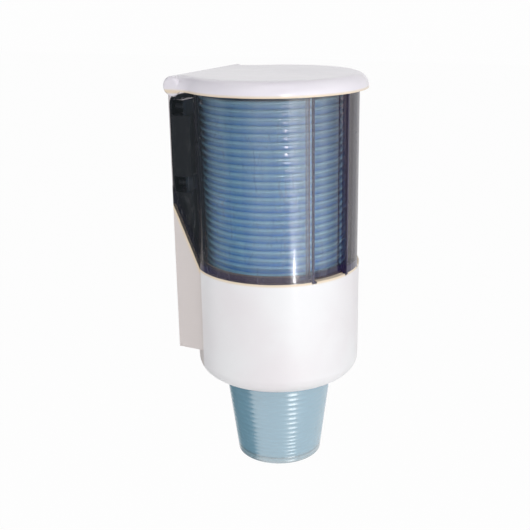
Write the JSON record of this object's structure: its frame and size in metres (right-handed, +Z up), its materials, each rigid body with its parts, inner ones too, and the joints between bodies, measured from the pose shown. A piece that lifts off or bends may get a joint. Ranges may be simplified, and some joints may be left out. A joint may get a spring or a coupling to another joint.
{
  "type": "cup dispenser",
  "caption": "Wall cup dispenser: smoked tubular cover over nested plastic cups, white bowl with a round outlet below and a hinged lid on top.",
  "frame": {"origin": "middle of the four wall screw holes, on the back face of the back plate", "axes": "+Z up along the cup tube, +Y out of the back plate into the wall, -Y towards the user"},
  "size_m": [0.089, 0.0881, 0.1974],
  "materials": {
    "white_housing": "gloss moulded",
    "white_lid": "gloss moulded",
    "smoked_plastic": "clear gloss, smoke tint",
    "charcoal_plastic": "fine matt",
    "steel_pin": "ground",
    "zinc_screw": "zinc plated",
    "soft_ring": "soft moulded",
    "white_keeper": "gloss moulded",
    "cup_plastic": "thin translucent"
  },
  "bodies": {
    "housing": {"back_plate": "charcoal_plastic", "lower_housing": "white_housing", "smoked_cover": "smoked_plastic", "finger_ring": "soft_ring", "ring_keeper": "white_keeper", "housing_screws": "zinc_screw", "cover_screws": "zinc_screw"},
    "lid": {"lid": "white_lid", "lid_hinge_pin_left": "steel_pin", "lid_hinge_pin_right": "steel_pin"},
    "lowest_cup": {"cup_01": "cup_plastic"},
    "cup_stack": {"cup_02": "cup_plastic", "cup_03": "cup_plastic", "cup_04": "cup_plastic", "cup_05": "cup_plastic", "cup_06": "cup_plastic", "cup_07": "cup_plastic", "cup_08": "cup_plastic", "cup_09": "cup_plastic", "cup_10": "cup_plastic", "cup_11": "cup_plastic", "cup_12": "cup_plastic", "cup_13": "cup_plastic", "cup_14": "cup_plastic", "cup_15": "cup_plastic", "cup_16": "cup_plastic", "cup_17": "cup_plastic", "cup_18": "cup_plastic", "cup_19": "cup_plastic", "cup_20": "cup_plastic", "cup_21": "cup_plastic", "cup_22": "cup_plastic", "cup_23": "cup_plastic", "cup_24": "cup_plastic", "cup_25": "cup_plastic", "cup_26": "cup_plastic", "cup_27": "cup_plastic"}
  },
  "joints": [
    {"name": "lid_hinge", "type": "hinge", "parent": "housing", "child": "lid", "pos_m": [0, -0.00565, 0.04535], "axis": [-1, 0, 0], "range_deg": [0, 90]},
    {"name": "cup_pull", "type": "slide", "parent": "housing", "child": "lowest_cup", "axis": [0, 0, -1], "range_m": [0, 0.095], "deforming": ["finger_ring"]},
    {"name": "stack_drop", "type": "slide", "parent": "housing", "child": "cup_stack", "axis": [0, 0, -1], "range_m": [0, 0.00365]}
  ],
  "couplings": [
    {"joint": "stack_drop", "follows": "cup_pull", "ratio": 0.0384}
  ]
}
